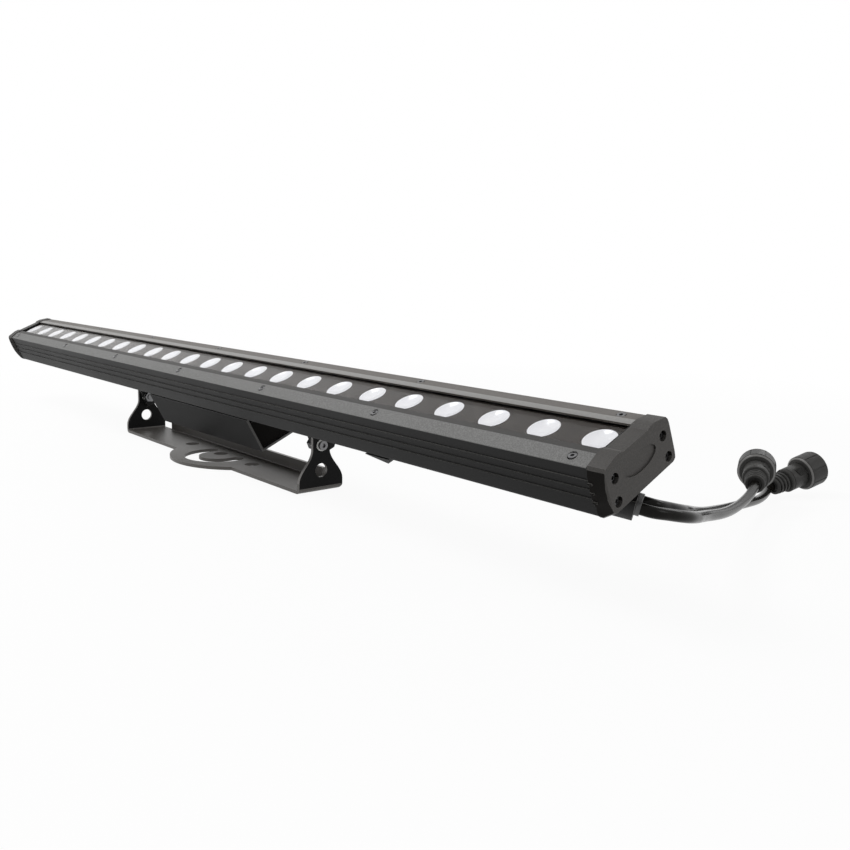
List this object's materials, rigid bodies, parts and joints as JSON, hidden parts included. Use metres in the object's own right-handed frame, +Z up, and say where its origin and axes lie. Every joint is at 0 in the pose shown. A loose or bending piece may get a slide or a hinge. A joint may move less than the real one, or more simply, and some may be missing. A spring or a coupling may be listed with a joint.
{
  "type": "outdoor wall washer light",
  "caption": "Long LED bar light with round lenses behind glass, tilting on a U bracket over its base plate, with two cables ending in round screw connectors.",
  "frame": {"origin": "centre of the bracket's middle fixing hole, on the underside of the base plate", "axes": "+X along the bar towards its cable end, -Y the side that the bar leans to, +Z up from the mounting surface"},
  "size_m": [1.0096, 0.4115, 0.1106],
  "materials": {
    "bracket_steel": "satin charcoal powder coat on 3 mm sheet",
    "body_black": "matte black powder coat on aluminium extrusion",
    "rail_grey": "fine textured dark grey powder coat",
    "cap_black": "satin charcoal die-cast cap",
    "glass": "clear tempered glass",
    "seal": "matte black silicone",
    "seal_orange": "orange silicone",
    "plate_bronze": "bronze grey satin cover plate",
    "lens": "milky clear acrylic lens",
    "holder": "matte black",
    "board": "white solder mask",
    "green_board": "green solder mask",
    "chip": "yellow phosphor",
    "steel": "stainless, brushed",
    "housing_black": "matte black powder coat on folded sheet",
    "driver_case": "plain aluminium case",
    "lead_red": "red insulation",
    "nylon": "white nylon",
    "cable": "glossy black sheath",
    "connector": "matte black moulding",
    "brass": "bright contacts"
  },
  "bodies": {
    "bracket": {"bracket": "bracket_steel"},
    "head": {"body_extrusion": "body_black", "rail_front": "rail_grey", "rail_back": "rail_grey", "rail_screws_front": "steel", "rail_screws_back": "steel", "window_seal": "seal", "front_glass": "glass", "lens_plate": "plate_bronze", "lenses": "lens", "lens_holders": "holder", "led_chips": "chip", "led_board": "board", "board_screws": "steel", "end_cap_right": "cap_black", "end_cap_left": "cap_black", "cap_seal_right": "seal", "cap_seal_left": "seal", "cap_screws_right": "steel", "cap_screws_left": "steel", "driver_housing": "housing_black", "housing_end_right": "housing_black", "housing_end_left": "housing_black", "housing_screws": "steel", "driver_module": "driver_case", "control_board": "green_board", "driver_leads": "lead_red", "lead_grommets": "seal", "supply_lead": "cable", "pivot_lug_right": "housing_black", "pivot_lug_left": "housing_black", "lug_screws": "steel", "pivot_bolts": "steel", "outer_washers": "nylon", "ear_spacers": "nylon", "inner_washers": "nylon", "pivot_nuts": "steel", "rest_foot": "holder", "foot_screw": "steel", "cable_block": "housing_black", "block_seal": "seal", "block_flange": "connector", "block_screws": "steel", "cable_stubs": "cable", "power_cable_in": "cable", "power_cable_out": "cable", "strain_relief_in": "connector", "strain_relief_out": "connector", "connector_in": "connector", "connector_out": "connector", "contacts_in": "brass", "contacts_out": "brass", "connector_seals": "seal_orange"},
    "nut_in": {"coupling_nut_in": "connector"},
    "nut_out": {"coupling_nut_out": "connector"}
  },
  "joints": [
    {"name": "head_tilt", "type": "hinge", "parent": "bracket", "child": "head", "pos_m": [0, 0, 0.0402], "axis": [1, 0, 0], "range_deg": [-108, 65]},
    {"name": "nut_in_turn", "type": "hinge", "parent": "head", "child": "nut_in", "pos_m": [0.4295, 0.3445, 0.0215], "axis": [0.25, 0.933, 0.2588], "continuous": true},
    {"name": "nut_out_turn", "type": "hinge", "parent": "head", "child": "nut_out", "pos_m": [0.4225, 0.2685, 0.0315], "axis": [-0.4592, 0.8822, 0.1045], "continuous": true}
  ]
}
